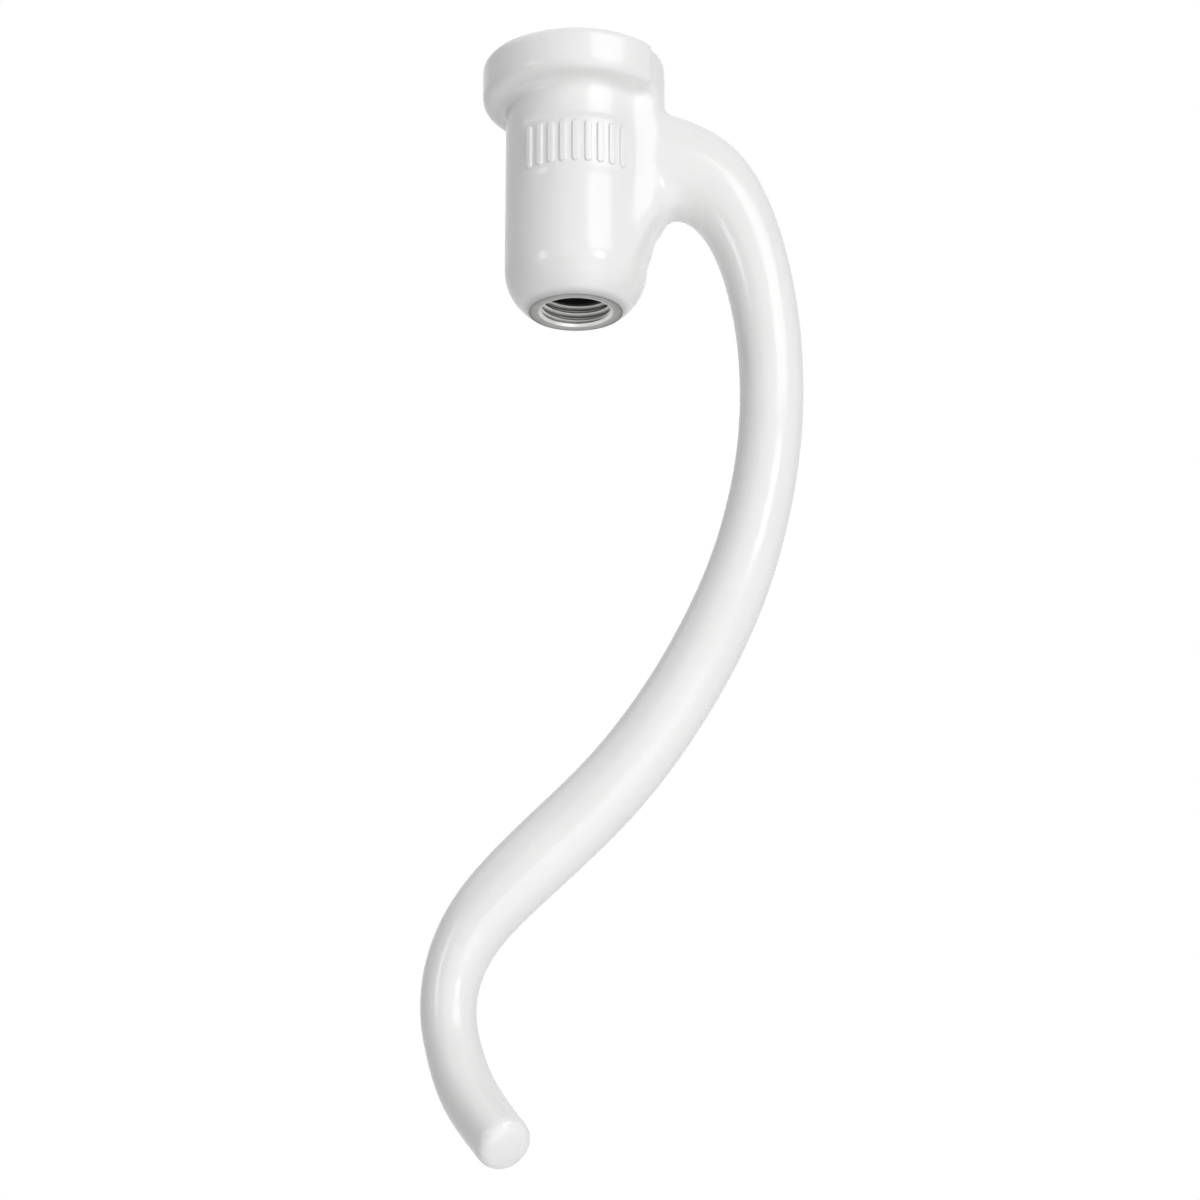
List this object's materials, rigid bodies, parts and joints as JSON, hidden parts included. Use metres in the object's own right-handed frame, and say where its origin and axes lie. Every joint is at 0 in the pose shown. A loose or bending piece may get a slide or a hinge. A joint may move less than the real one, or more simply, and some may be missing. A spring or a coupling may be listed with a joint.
{
  "type": "stand mixer dough hook",
  "caption": "One-piece cast dough hook: a collared hub with a pin-lock shaft bore and a tapped nose, and a round arm that sweeps down in a curl.",
  "frame": {"origin": "centre of the shaft bore's mouth, on top of the collar", "axes": "+Z along the shaft, up out of the bore; the arm leaves the hub towards +X; the raised bars face -Y"},
  "size_m": [0.0625, 0.032, 0.1873],
  "materials": {
    "coating": "smooth white baked coating, satin to glossy, with the casting's soft edges showing through; the flat on the nose and the tapped hole in it are bare machined aluminium"
  },
  "bodies": {
    "root": {"dough_hook": "coating"}
  },
  "joints": []
}
